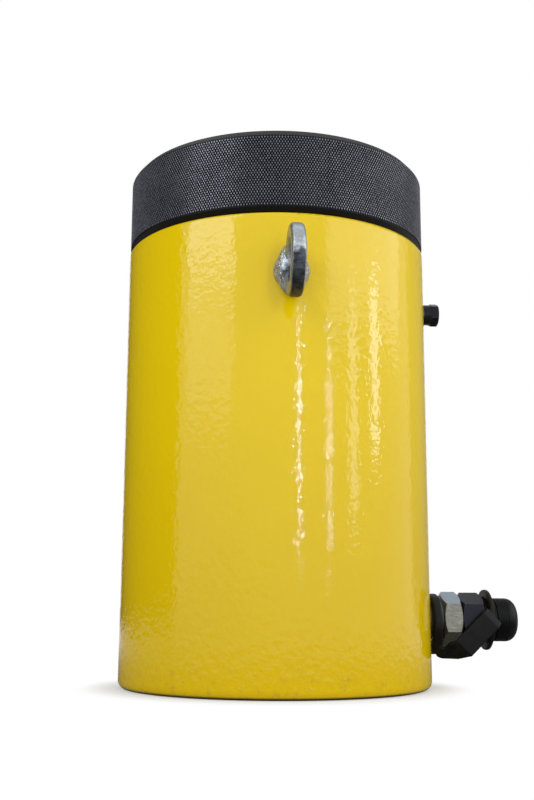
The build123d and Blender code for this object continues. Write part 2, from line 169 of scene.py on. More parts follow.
class Tree:
    """The node tree of a material or of the world."""

    def __init__(self, owner: bpy.types.Material | bpy.types.World) -> None:
        """Turns the owner's nodes on.

        Args:
            owner: the material or the world.
        """
        owner.use_nodes = True
        self.owner = owner
        self.nodes = owner.node_tree.nodes
        self.links = owner.node_tree.links
        self.place = self.node("ShaderNodeTexCoord").outputs["Object"]

    def node(self, kind: str, settings: dict | None = None,
             inputs: dict | None = None) -> bpy.types.Node:
        """Adds a node.

        Args:
            kind: the node's type.
            settings: its properties, set first.
            inputs: the values or links of its sockets, by name or number.

        Returns:
            The node.
        """
        node = self.nodes.new(kind)
        for name, value in (settings or {}).items():
            setattr(node, name, value)
        for key, value in (inputs or {}).items():
            self.feed(node.inputs[key], value)
        return node

    def feed(self, socket: Socket, value: object) -> None:
        """Links a value or a socket to an input, or sets a plain number or colour on it.

        Args:
            socket: the input.
            value: a Value, an output socket, or a constant.
        """
        if isinstance(value, Value):
            self.links.new(value.socket, socket)
        elif isinstance(value, Socket):
            self.links.new(value, socket)
        else:
            socket.default_value = value

    def noise(self, cloud: Cloud) -> Value:
        """Lays a cloudy pattern.

        Args:
            cloud: the pattern.

        Returns:
            From 0 to 1.
        """
        scale = [1 / (cloud.size * share) for share in cloud.stretch]
        place = self.node("ShaderNodeMapping", {}, {"Vector": self.place, "Scale": scale}).outputs[0]
        inputs = {"Vector": place, "Scale": 1.0, "Detail": cloud.detail, "Roughness": cloud.rough}
        pattern = Value(self, self.node("ShaderNodeTexNoise", {}, inputs).outputs[0])
        return self.span(pattern, *cloud.contrast) if cloud.contrast else pattern

    def cells(self, size: float) -> Value:
        """The distance to the nearest of many points, scattered about a given size apart."""
        inputs = {"Vector": self.place, "Scale": 1 / size}
        return Value(self, self.node("ShaderNodeTexVoronoi", {}, inputs).outputs["Distance"])

    def span(self, value: Value, low: float, high: float) -> Value:
        """Stretches a value smoothly, from 0 at low to 1 at high.

        Args:
            value: the value.
            low: where the result is 0.
            high: where the result is 1.

        Returns:
            The stretched value.
        """
        settings = {"interpolation_type": "SMOOTHSTEP"}
        inputs = {"Value": value, "From Min": low, "From Max": high}
        return Value(self, self.node("ShaderNodeMapRange", settings, inputs).outputs[0])

    def blend(self, factor: Value, low: Colour | Socket, high: Colour | Socket) -> Socket:
        """The mix of two colours, the first at a factor of 0 and the second at 1."""
        inputs = {0: factor, MIX_LOW: low, MIX_HIGH: high}
        return self.node("ShaderNodeMix", {"data_type": "RGBA"}, inputs).outputs[MIXED]

    def part(self, vector: Socket, axis: Axis) -> Value:
        """One coordinate of a vector."""
        split = self.node("ShaderNodeSeparateXYZ", {}, {0: vector})
        return Value(self, split.outputs[axis.value])

    def along(self, axis: Axis) -> Value:
        """The place along an axis, in metres."""
        return self.part(self.place, axis)

    def facing(self, axis: Axis) -> Value:
        """How far a surface faces along an axis, from -1, against it, to 1."""
        return self.part(self.node("ShaderNodeNewGeometry").outputs["Normal"], axis)

    def from_axis(self) -> Value:
        """The distance from the upright axis, in metres."""
        across, ahead = self.along(Axis.X), self.along(Axis.Y)
        return (across * across + ahead * ahead).root()

    def ray(self, kind: str) -> Value:
        """1 for one kind of ray, named as the Light Path node names it, and 0 for the others."""
        return Value(self, self.node("ShaderNodeLightPath").outputs[kind])

    def rounded(self, radius: float) -> Socket:
        """A normal that rounds the sharp edges to a radius."""
        return self.node("ShaderNodeBevel", {"samples": BEVEL_SAMPLES}, {"Radius": radius}).outputs[0]

    def edges(self, radius: float) -> Value:
        """How near a sharp edge a point lies, from 0 on a face to 1 on an edge.

        Args:
            radius: how far from the edge it reaches, in metres.

        Returns:
            The nearness.
        """
        flat = self.node("ShaderNodeNewGeometry").outputs["Normal"]
        settings = {"operation": "DOT_PRODUCT"}
        dot = self.node("ShaderNodeVectorMath", settings, {0: self.rounded(radius), 1: flat})
        return self.span(1.0 - Value(self, dot.outputs[1]), *EDGE_RANGE)

    def bump(self, height: Value, depth: float, normal: Socket | None = None) -> Socket:
        """A normal for fine relief.

        Args:
            height: the relief, from 0 to 1.
            depth: its depth in metres.
            normal: the normal that it is laid on.

        Returns:
            The normal's socket.
        """
        inputs = {"Height": height, "Distance": depth}
        if normal is not None:
            inputs["Normal"] = normal
        return self.node("ShaderNodeBump", {}, inputs).outputs[0]

    def finish(self, sockets: dict) -> bpy.types.Material:
        """Feeds the material's shader.

        Args:
            sockets: values or links by socket name.

        Returns:
            The material.
        """
        for name, value in sockets.items():
            self.feed(self.nodes["Principled BSDF"].inputs[name], value)
        return self.owner


def tint(tone: Tone) -> Colour:
    """A colour as seen on a screen, turned to the linear values that the shader takes.

    Args:
        tone: the screen colour.

    Returns:
        The linear colour with full alpha.
    """
    def linear(part: int) -> float:
        """One channel."""
        share = part / 255
        return share / 12.92 if share <= 0.04045 else ((share + 0.055) / 1.055) ** 2.4

    red, green, blue = (linear(part) for part in tone)
    return red, green, blue, 1.0


@dataclass(frozen=True)
class GlossPaint:
    """Gloss enamel with orange peel and dust at its foot, with painted shade: a deeper tone towards
    the foot and a dark line of contact shadow.
    """

    colour: Tone = (242, 206, 6)
    # deep: the darker tone painted in as shade towards the foot.
    deep: Tone = (222, 186, 4)
    dusty: Tone = (150, 128, 66)
    # shaded: the dark tone of a painted contact shadow along the very foot.
    shaded: Tone = (46, 38, 18)
    foot_height: float = 240 * MM
    dust_height: float = 30 * MM
    shaded_range: Range = (0.72 * MM, 2.4 * MM)
    cloud: Cloud = Cloud(35 * MM, 3)
    specks: Cloud = Cloud(1.6 * MM, 3, 0.7, (0.68, 0.76))
    film: Cloud = Cloud(5 * MM, 4, 0.7, (0.5, 0.8))
    fine_peel: Cloud = Cloud(2.4 * MM, 1)
    wide_peel: Cloud = Cloud(4.8 * MM, 0)
    peel_depth: float = 0.12 * MM
    smear: Cloud = Cloud(9 * MM, 3)
    roughness: float = 0.025
    specular: float = 0.44

    def make(self, name: str) -> bpy.types.Material:
        """Builds the material.

        Args:
            name: its name.

        Returns:
            The material.
        """
        tree = Tree(bpy.data.materials.new(name))
        height = tree.along(Axis.Z)
        # Painted shade: lower down the paint is blended towards the deeper tone, with a random mottle
        # mixed in.
        low_shade = 1.0 - tree.span(height, 0.0, self.foot_height)
        foot_shade_and_mottle = low_shade * 0.75 + tree.noise(self.cloud) * 0.25
        base = tree.blend(foot_shade_and_mottle, tint(self.colour), tint(self.deep))
        dust = tree.noise(self.specks) * 0.2 + tree.noise(self.film) * 0.5
        near_floor = 1.0 - tree.span(height, 0.0, self.dust_height)
        base = tree.blend(dust * near_floor, base, tint(self.dusty))
        # Painted shadow: a dark line where the foot meets the floor.
        contact_shadow_line = 1.0 - tree.span(height, *self.shaded_range)
        peel = tree.noise(self.fine_peel) + tree.noise(self.wide_peel) * 1.2
        return tree.finish({
            "Base Color": tree.blend(contact_shadow_line, base, tint(self.shaded)),
            "Roughness": self.roughness + tree.noise(self.smear) * 0.03,
            "Specular IOR Level": self.specular,
            "Normal": tree.bump(peel, self.peel_depth),
        })


@dataclass(frozen=True)
class KnurledOxide:
    """Blackened steel whose knurl is painted darker in its valleys as shade, and lighter on its
    crests, partly rubbed bright and partly a painted glint.
    """

    colour: Tone = (22, 22, 23)
    # valley: the knurl band's tone, painted darker as shade between the crests.
    valley: Tone = (16, 16, 17)
    # The crests' tone: partly rubbed oxide, partly a painted glint.
    crest_wear_and_glint: Tone = (150, 151, 162)
    knurl_range: Range = (101.3 * MM, 101.4 * MM)
    crest_range: Range = (101.83 * MM, 101.95 * MM)
    cloud: Cloud = Cloud(20 * MM, 3)
    wear: Cloud = Cloud(1.2 * MM, 3, 0.7, (0.3, 0.7))
    grain: Cloud = Cloud(0.3 * MM, 3, 0.6)
    grain_depth: float = 0.01 * MM
    metallic: float = 0.45
    roughness: float = 0.4
    specular: float = 0.2

    def make(self, name: str) -> bpy.types.Material:
        """Builds the material.

        Args:
            name: its name.

        Returns:
            The material.
        """
        tree = Tree(bpy.data.materials.new(name))
        radius = tree.from_axis()
        cloud = tree.noise(self.cloud)
        # Painted shade: the whole knurl band is blended towards the darker valley tone.
        knurl_shade_mask = tree.span(radius, *self.knurl_range)
        # Crest mask: lighter partly from real wear, partly as a painted glint.
        rubbed = tree.span(radius, *self.crest_range)
        worn = tree.noise(self.wear) * 0.5 + cloud * 0.5
        base = tree.blend(knurl_shade_mask, tint(self.colour), tint(self.valley))
        return tree.finish({
            "Base Color": tree.blend(rubbed * worn, base, tint(self.crest_wear_and_glint)),
            "Metallic": self.metallic,
            "Specular IOR Level": self.specular,
            "Roughness": self.roughness - rubbed * 0.14 + cloud * 0.1,
            "Normal": tree.bump(tree.noise(self.grain), self.grain_depth),
        })


@dataclass(frozen=True)
class DarkMetal:
    """Black plated steel with bright worn edges."""

    colour: Tone = (14, 15, 22)
    light: Tone = (18, 20, 29)
    worn: Tone = (150, 132, 104)
    # mirrored: a bluish tint painted on its reflections, in place of bluish light.
    mirrored: Colour = (0.78, 0.86, 1.0, 1.0)
    metallic: float = 0.1
    roughness: float = 0.26
    specular: float = 0.24
    edge: float = 0.5 * MM
    wear: float = 0.6
    patches: Cloud = Cloud(2.2 * MM, 4, 0.7, (0.35, 0.65))
    cloud: Cloud = Cloud(14 * MM, 3)
    grain: Cloud = Cloud(0.5 * MM, 3, 0.6)
    grain_depth: float = 0.02 * MM

    def make(self, name: str) -> bpy.types.Material:
        """Builds the material.

        Args:
            name: its name.

        Returns:
            The material.
        """
        tree = Tree(bpy.data.materials.new(name))
        cloud = tree.noise(self.cloud)
        grain = tree.noise(self.grain)
        rubbed = tree.edges(self.edge) * tree.noise(self.patches) * self.wear
        base = tree.blend(cloud * 0.5, tint(self.colour), tint(self.light))
        return tree.finish({
            "Base Color": tree.blend(rubbed, base, tint(self.worn)),
            "Metallic": self.metallic,
            "Specular IOR Level": self.specular,
            "Specular Tint": self.mirrored,
            "Roughness": self.roughness + cloud * 0.12 - rubbed * 0.1,
            "Normal": tree.bump(grain, self.grain_depth, tree.rounded(self.edge * 0.5)),
        })


@dataclass(frozen=True)
class Zinc:
    """Zinc over steel: grainy, with a painted sky reflection where it faces up and painted shade low
    down, coarse near the barrel.
    """

    colour: Tone
    deep: Tone
    # sky: the bluish tone painted on upward faces as a reflection of the sky.
    sky: Tone
    # The dark tone of the painted shade low down, also used for the dark speckles near the barrel.
    shade_and_grime: Tone
    grain_size: float
    grain_depth: float
    metallic: float
    roughness: float
    specular: float = 0.3
    edge: float = 0.35 * MM
    grain_range: Range = (0.32, 0.68)
    pit_range: Range = (0.0, 0.35)
    sky_sheen_range: Range = (0.25, 0.85)
    sideways_range: Range = (0.25, 0.7)
    shade_below: float = 0.0
    shade_ragged: float = 3 * MM
    coarse_within: float = 0.0
    bare: Tone = (244, 243, 238)

    def make(self, name: str) -> bpy.types.Material:
        """Builds the material.

        Args:
            name: its name.

        Returns:
            The material.
        """
        tree = Tree(bpy.data.materials.new(name))
        size = self.grain_size
        grain = tree.noise(Cloud(size, 4, 0.65))
        mottle = tree.noise(Cloud(size * 6, 3, contrast=(0.3, 0.7)))
        streaks = tree.noise(Cloud(size * 2, 3, 0.6, (0.35, 0.7), stretch=(6, 1, 1)))
        speckle = tree.noise(Cloud(size * 1.3, 2, 0.6, (0.42, 0.58)))
        pits = 1.0 - tree.span(tree.cells(size * 4), *self.pit_range)
        bright = tree.span(grain, *self.grain_range) * 0.6 + streaks * 0.4
        base = tree.blend(bright, tint(self.deep), tint(self.colour))
        # Painted reflection: faces that point upward are blended towards the sky tone.
        upward = tree.span(tree.facing(Axis.Z), *self.sky_sheen_range)
        base = tree.blend(upward * 0.7, base, tint(self.sky))
        # Painted shade: below a set height, faces that do not point sideways are darkened.
        height = tree.along(Axis.Z) + mottle * self.shade_ragged
        low_shade = 1.0 - tree.span(height, self.shade_below - 2 * MM, self.shade_below + MM)
        sideways = tree.facing(Axis.X)
        under = low_shade * (1.0 - tree.span(sideways * sideways, *self.sideways_range))
        base = tree.blend(under * (0.8 + mottle * 0.2), base, tint(self.shade_and_grime))
        coarse = 1.0 - tree.span(tree.from_axis(), self.coarse_within - MM, self.coarse_within + MM)
        base = tree.blend(coarse * speckle * 0.6, base, tint(self.bare))
        base = tree.blend(coarse * (1.0 - speckle) * 0.4, base, tint(self.shade_and_grime))
        relief = grain * 0.8 + mottle * 0.5 + streaks * 0.3 - pits * 0.5 + coarse * speckle * 2.6
        return tree.finish({
            "Base Color": base,
            "Metallic": self.metallic,
            "Specular IOR Level": self.specular,
            "Roughness": self.roughness + grain * 0.15 + under * 0.15,
            "Normal": tree.bump(relief, self.grain_depth, tree.rounded(self.edge)),
        })


@dataclass(frozen=True)
class MachinedSteel:
    """Turned and ground steel with fine lathe rings and a trace of oil."""

    colour: Tone
    oily: Tone
    roughness: float = 0.22
    lathe_pitch: float = 0.35 * MM
    lathe_depth: float = 0.01 * MM
    lathe_stretch: float = 400.0
    around: Axis = Axis.Z
    edge: float = 0.3 * MM
    oil: Cloud = Cloud(18 * MM, 4, 0.6, (0.35, 0.75))

    def make(self, name: str) -> bpy.types.Material:
        """Builds the material.

        Args:
            name: its name.

        Returns:
            The material.
        """
        tree = Tree(bpy.data.materials.new(name))
        stretch = tuple(1 if axis is self.around else self.lathe_stretch for axis in Axis)
        rings = tree.noise(Cloud(self.lathe_pitch, 2, stretch=stretch))
        oil = tree.noise(self.oil)
        return tree.finish({
            "Base Color": tree.blend(oil * 0.6, tint(self.colour), tint(self.oily)),
            "Metallic": 1.0,
            "Roughness": self.roughness + rings * 0.1 + oil * 0.1,
            "Normal": tree.bump(rings, self.lathe_depth, tree.rounded(self.edge)),
        })


@dataclass(frozen=True)
class Moulding:
    """Rubber or plastic from a mould, with a fine grain."""

    colour: Tone
    dusty: Tone
    roughness: float
    grain_size: float = 0.6 * MM
    grain_depth: float = 0.03 * MM
    edge: float = 0.5 * MM
    specular: float = 0.16
    bloom: Cloud = Cloud(12 * MM, 4, 0.6, (0.4, 0.8))

    def make(self, name: str) -> bpy.types.Material:
        """Builds the material.

        Args:
            name: its name.

        Returns:
            The material.
        """
        tree = Tree(bpy.data.materials.new(name))
        bloom = tree.noise(self.bloom)
        dusted = bloom * 0.35 + tree.edges(self.edge) * 0.3
        grain = tree.noise(Cloud(self.grain_size, 4, 0.6))
        return tree.finish({
            "Base Color": tree.blend(dusted, tint(self.colour), tint(self.dusty)),
            "Roughness": self.roughness + bloom * 0.15,
            "Specular IOR Level": self.specular,
            "Normal": tree.bump(grain, self.grain_depth, tree.rounded(self.edge * 0.6)),
        })


# The finish of each material slot in the record.
FINISHES = {
    "barrel_paint": GlossPaint(),
    "black_oxide": KnurledOxide(),
    "plunger_steel": MachinedSteel((196, 196, 198), (156, 156, 158)),
    "saddle_steel": MachinedSteel((112, 112, 116), (89, 89, 92), 0.34),
    "galvanised_steel": Zinc(
        colour=(200, 206, 210),
        deep=(100, 108, 116),
        sky=(200, 210, 218),
        shade_and_grime=(40, 42, 54),
        grain_size=0.6 * MM,
        grain_depth=0.16 * MM,
        metallic=0.85,
        roughness=0.26,
        shade_below=254 * MM,
        coarse_within=112 * MM,
    ),
    "zinc_plate": Zinc(
        colour=(150, 150, 141),
        deep=(92, 92, 84),
        sky=(160, 178, 202),
        shade_and_grime=(140, 138, 130),
        grain_size=0.4 * MM,
        grain_depth=0.05 * MM,
        metallic=0.7,
        roughness=0.34,
    ),
    "black_steel": DarkMetal(),
    "cap_plastic": Moulding((10, 10, 11), (40, 41, 44), 0.36),
    "strap_rubber": Moulding((13, 13, 14), (46, 46, 47), 0.44),
    "seal_rubber": Moulding((12, 12, 13), (34, 34, 36), 0.5, 0.4 * MM, 0.01 * MM, 0.3 * MM),
    "bearing_band": Moulding((120, 84, 48), (160, 124, 84), 0.55, 0.3 * MM, 0.02 * MM, 0.3 * MM),
    "backup_plastic": Moulding((222, 220, 212), (240, 238, 232), 0.4, 0.4 * MM, 0.01 * MM, 0.3 * MM),
    "seal_washer": MachinedSteel((118, 88, 66), (94, 70, 52), 0.3, 0.2 * MM, around=Axis.X),
    "ball_steel": MachinedSteel((206, 208, 212), (164, 166, 169), 0.12, 0.3 * MM, around=Axis.X),
}


def deselect() -> None:
    """Leaves edit mode and deselects every object."""
    if bpy.context.object and bpy.context.object.mode != "OBJECT":
        bpy.ops.object.mode_set(mode="OBJECT")
    for other in list(bpy.context.selected_objects):
        other.select_set(False)


def pick(piece: Piece, *others: Piece) -> None:
    """Selects a piece and others with it, and makes the piece the active one.

    Args:
        piece: the piece.
        others: pieces selected beside it.
    """
    deselect()
    for one in (*others, piece):
        one.select_set(True)
    bpy.context.view_layer.objects.active = piece


class Element(Enum):
    """What a mesh is made of, with the name of bmesh's list of it."""

    EDGE = "edges"
    FACE = "faces"


def choose(piece: Piece, kind: Element, test: Callable[[object], bool]) -> int:
    """Selects the edges or faces that pass a test.

    Args:
        piece: the piece in edit mode.
        kind: edges or faces.
        test: takes one element and says whether it is chosen.

    Returns:
        How many were chosen.
    """
    bpy.ops.mesh.select_mode(type=kind.name)
    bpy.ops.mesh.select_all(action="DESELECT")
    shape = bmesh.from_edit_mesh(piece.data)
    chosen = [one for one in getattr(shape, kind.value) if test(one)]
    for one in chosen:
        one.select_set(True)
    bmesh.update_edit_mesh(piece.data)
    return len(chosen)


def settle(piece: Piece, placing: Matrix | None = None) -> Piece:
    """Puts a piece's place into its mesh, so that its object sits at the origin.

    Args:
        piece: the piece.
        placing: a last move or turn.

    Returns:
        The piece.
    """
    pick(piece)
    if placing is not None:
        piece.matrix_world = placing @ piece.matrix_world
        bpy.context.view_layer.update()
    bpy.ops.object.transform_apply(location=True, rotation=True, scale=True)
    return piece


def apply(piece: Piece, kind: str, **settings: object) -> Piece:
    """Adds a modifier and applies it.

    Args:
        piece: the piece.
        kind: the modifier's type.
        settings: its properties.

    Returns:
        The piece.
    """
    pick(piece)
    modifier = piece.modifiers.new(kind.lower(), kind)
    for name, value in settings.items():
        setattr(modifier, name, value)
    bpy.ops.object.modifier_apply(modifier=modifier.name)
    return piece


def smooth(piece: Piece, degrees: float = 30) -> Piece:
    """Shades a piece smooth where its faces meet at less than an angle.

    Args:
        piece: the piece.
        degrees: the angle.

    Returns:
        The piece.
    """
    pick(piece)
    bpy.ops.object.shade_smooth_by_angle(angle=math.radians(degrees))
    return piece


def joined(name: str, first: Piece, *rest: Piece) -> Piece:
    """Joins pieces into one mesh.

    Args:
        name: its new name.
        first: the piece that takes up the others.
        rest: the others.

    Returns:
        The joined piece.
    """
    pick(first, *rest)
    bpy.ops.object.join()
    first.name = first.data.name = name
    return first


def turned(name: str, outline: Sequence[Station], segments: int = 128, ring: bool = False) -> Piece:
    """Turns a body about Z, by extruding a circle from station to station.

    Args:
        name: the piece's name.
        outline: radius and height of each station, in metres.
        segments: how many sides the circle has.
        ring: whether the last station joins the first; otherwise both ends close on the axis.

    Returns:
        The piece.
    """
    deselect()
    radius, height = outline[0]
    bpy.ops.mesh.primitive_circle_add(vertices=segments, radius=radius, location=(0, 0, height))
    piece = bpy.context.object
    piece.name = piece.data.name = name
    bpy.ops.object.mode_set(mode="EDIT")
    bpy.ops.mesh.select_mode(type="EDGE")
    bpy.ops.mesh.select_all(action="SELECT")
    stations = list(outline[1:]) + ([outline[0]] if ring else [])
    for next_radius, next_height in stations:
        step = (0, 0, next_height - height)
        bpy.ops.mesh.extrude_edges_move(TRANSFORM_OT_translate={"value": step})
        if next_radius != radius:
            share = next_radius / radius
            bpy.ops.transform.resize(value=(share, share, 1), center_override=(0, 0, next_height))
        radius, height = next_radius, next_height
    if ring:
        bpy.ops.mesh.select_all(action="SELECT")
        bpy.ops.mesh.remove_doubles(threshold=WELD)
    else:
        close_on_axis(piece)
    bpy.ops.mesh.select_all(action="SELECT")
    bpy.ops.mesh.normals_make_consistent(inside=False)
    return smooth(settle(piece))


def close_on_axis(piece: Piece) -> None:
    """Closes both open rims of a turned piece with a fan to the axis.

    Args:
        piece: the piece in edit mode.
    """
    for upper in (False, True):
        rims = [edge for edge in bmesh.from_edit_mesh(piece.data).edges if edge.is_boundary]
        middle = sum(edge.verts[0].co.z for edge in rims) / len(rims)
        low, high = (middle - WELD, math.inf) if upper else (-math.inf, middle)
        if choose(piece, Element.EDGE,
                  lambda edge: edge.is_boundary and low <= edge.verts[0].co.z < high):
            bpy.ops.mesh.extrude_edges_move(TRANSFORM_OT_translate={"value": (0, 0, 0)})
            bpy.ops.mesh.merge(type="CENTER")


@dataclass
class KnurledNut:
    """The black ring nut: diamond knurl outside, and a bore as wide as its thread's root."""

    crest_r: float = 102 * MM
    knurl_depth: float = 0.5 * MM
    flank: float = 0.42 * MM
    around: int = 350
    rows: int = 15
    top_chamfer: float = 4.3 * MM
    foot_chamfer: float = 3.9 * MM
    bore_r: float = 79.3 * MM
    bore_chamfer: float = 1.2 * MM
    weld: float = 0.02 * MM

    def knurl(self, low: float, high: float) -> Piece:
        """The diamond knurl, an open tube of small pyramids.

        Args:
            low: its lower rim's height.
            high: its upper rim's height.

        Returns:
            The tube.
        """
        deselect()
        valley = self.crest_r - self.knurl_depth
        bpy.ops.mesh.primitive_cylinder_add(
            vertices=self.around, radius=valley, depth=high - low,
            end_fill_type="NOTHING", location=(0, 0, (low + high) / 2))
        tube = bpy.context.object
        bpy.ops.object.mode_set(mode="EDIT")
        choose(tube, Element.EDGE, lambda edge: abs(edge.verts[0].co.z - edge.verts[1].co.z) > MM)
        bpy.ops.mesh.subdivide(number_cuts=self.rows - 1)
        corners = len(bmesh.from_edit_mesh(tube.data).verts)
        bpy.ops.mesh.select_all(action="SELECT")
        bpy.ops.mesh.poke()
        choose(tube, Element.EDGE, lambda edge: not edge.is_boundary
               and all(vert.index < corners for vert in edge.verts))
        bpy.ops.mesh.dissolve_edges(use_verts=False)
        choose(tube, Element.FACE, lambda face: len(face.verts) == 4)
        bpy.ops.mesh.inset(thickness=self.flank, depth=self.knurl_depth, use_individual=True)
        bpy.ops.object.mode_set(mode="OBJECT")
        return settle(tube)

    def build(self) -> list[Piece]:
        """Makes the nut."""
        low, high = (corner.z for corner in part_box("lock_nut"))
        valley = self.crest_r - self.knurl_depth
        foot, top = low + self.foot_chamfer, high - self.top_chamfer
        shell = turned("nut_shell", [
            (valley, top),
            (self.crest_r - self.top_chamfer, high),
            (self.bore_r + self.bore_chamfer, high),
            (self.bore_r, high - self.bore_chamfer),
            (self.bore_r, low + self.bore_chamfer),
            (self.bore_r + self.bore_chamfer, low),
            (self.crest_r - self.foot_chamfer, low),
            (valley, foot),
        ], self.around, ring=True)
        bpy.ops.object.mode_set(mode="EDIT")
        within = valley - self.weld
        choose(shell, Element.FACE,
               lambda face: all(vert.co.xy.length > within for vert in face.verts))
        bpy.ops.mesh.delete(type="ONLY_FACE")
        nut = joined("knurled_nut", shell, self.knurl(foot, top))
        bpy.ops.object.mode_set(mode="EDIT")
        bpy.ops.mesh.select_all(action="SELECT")
        bpy.ops.mesh.remove_doubles(threshold=self.weld)
        bpy.ops.mesh.normals_make_consistent(inside=False)
        smooth(nut, degrees=20)
        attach(nut, "lock_nut")
        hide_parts("lock_nut")
        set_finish(nut, "black_oxide")
        return [nut]


@dataclass
class Plunger:
    """The ram: grooved piston land, right-hand thread and the saddle's spherical seat.

    A groove is its foot, width and radius. The thread's form is steps outward, in shares of its
    depth, and upward, in shares of its pitch.
    """

    land_r: float = 79.95 * MM
    grooves: tuple[Point, ...] = (
        (5.5 * MM, 14 * MM, 77.5 * MM),
        (23.5 * MM, 14 * MM, 77.5 * MM),
        (41.5 * MM, 14 * MM, 72 * MM),
    )
    core_r: float = 75.3 * MM
    crest_r: float = 79.0 * MM
    root_r: float = 75.6 * MM
    inner_r: float = 74 * MM
    pitch: float = 6 * MM
    form: tuple[Station, ...] = ((0, 0.1), (1, 0.3), (0, 0.15), (-1, 0.3), (0, 0.15))
    turns: int = 42
    steps: int = 96
    weld: float = 0.01 * MM
    chamfer: float = 1.5 * MM
    land_h: float = 62 * MM
    seat_r: float = 60 * MM
    seat_half: float = 42 * MM
    seat_steps: int = 12
    hole_r: float = 6.05 * MM
    hole_depth: float = 24 * MM

    def seat(self, top: float) -> list[Station]:
        """The spherical seat, from its rim down to the screw hole.

        Args:
            top: the plunger's top.

        Returns:
            Its stations.
        """
        rise = math.sqrt(self.seat_r ** 2 - self.seat_half ** 2)
        rim, hole = math.asin(self.seat_half / self.seat_r), math.asin(self.hole_r / self.seat_r)
        angles = [rim + (hole - rim) * i / self.seat_steps for i in range(self.seat_steps + 1)]
        return [(self.seat_r * math.sin(a), top + rise - self.seat_r * math.cos(a)) for a in angles]

    def ram(self, low: float, top: float) -> Piece:
        """The ram without its thread.

        Args:
            low: its foot.
            top: its top.

        Returns:
            The ram.
        """
        land_top = low + self.land_h
        outline = [(self.land_r - self.chamfer, low), (self.land_r, low + self.chamfer)]
        for start, width, groove_r in self.grooves:
            foot, head = low + start, low + start + width
            outline += [(self.land_r, foot), (groove_r, foot), (groove_r, head), (self.land_r, head)]
        outline += [(self.land_r, land_top - self.chamfer), (self.land_r - self.chamfer, land_top)]
        outline += [(self.core_r, land_top), (self.core_r, top - self.chamfer)]
        outline.append((self.core_r - self.chamfer, top))
        outline += self.seat(top)
        outline.append((self.hole_r, outline[-1][1] - self.hole_depth))
        return turned("plunger_ram", outline, segments=160)

    def thread(self, low: float, high: float) -> Piece:
        """The thread, wound from one pitch of its form and bounded by a chamfered tube.

        Args:
            low: its lower end.
            high: its upper end.

        Returns:
            The thread.
        """
        deselect()
        bpy.ops.mesh.primitive_plane_add(size=MM, location=(self.root_r, 0, low - 2 * self.pitch))
        thread = bpy.context.object
        thread.name = thread.data.name = "plunger_thread"
        settle(thread)
        bpy.ops.object.mode_set(mode="EDIT")
        bpy.ops.mesh.select_all(action="SELECT")
        bpy.ops.mesh.merge(type="CENTER")
        bpy.ops.mesh.select_mode(type="VERT")
        bpy.ops.mesh.select_all(action="SELECT")
        depth = self.crest_r - self.root_r
        for out, up in self.form:
            step = (out * depth, 0, up * self.pitch)
            bpy.ops.mesh.extrude_vertices_move(TRANSFORM_OT_translate={"value": step})
        bpy.ops.object.mode_set(mode="OBJECT")
        apply(thread, "SCREW", axis="Z", angle=math.tau, screw_offset=self.pitch,
              iterations=self.turns, steps=self.steps, render_steps=self.steps,
              use_merge_vertices=True, merge_threshold=self.weld)
        bpy.ops.object.mode_set(mode="EDIT")
        bpy.ops.mesh.select_all(action="SELECT")
        bpy.ops.mesh.remove_doubles(threshold=self.weld)
        for cut, upper in ((high + self.pitch / 2, True), (low - self.pitch / 2, False)):
            bpy.ops.mesh.select_all(action="SELECT")
            bpy.ops.mesh.bisect(plane_co=(0, 0, cut), plane_no=(0, 0, 1), use_fill=True,
                                clear_outer=upper, clear_inner=not upper)
        bpy.ops.mesh.select_all(action="SELECT")
        bpy.ops.mesh.normals_make_consistent(inside=False)
        blank = self.blank(low, high)
        apply(thread, "BOOLEAN", operation="INTERSECT", solver="EXACT", object=blank)
        pick(blank)
        bpy.ops.object.delete()
        return smooth(thread, degrees=25)

    def blank(self, low: float, high: float) -> Piece:
        """The chamfered tube that bounds the thread.

        Args:
            low: its lower end.
            high: its upper end.

        Returns:
            The tube.
        """
        outer_r, edge_r = self.crest_r + self.pitch / 10, self.core_r + self.pitch / 20
        rise = outer_r - edge_r
        return turned("thread_blank", [
            (self.inner_r, low),
            (edge_r, low),
            (outer_r, low + rise),
            (outer_r, high - rise),
            (edge_r, high),
            (self.inner_r, high),
        ], self.steps, ring=True)

    def build(self) -> list[Piece]:
        """Makes the ram and its thread."""
        low, high = (corner.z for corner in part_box("plunger"))
        ram = self.ram(low, high)
        thread = self.thread(low + self.land_h + self.pitch / 2, high - self.chamfer)
        for piece in (ram, thread):
            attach(piece, "plunger")
            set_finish(piece, "plunger_steel")
        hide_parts("plunger")
        return [ram, thread]


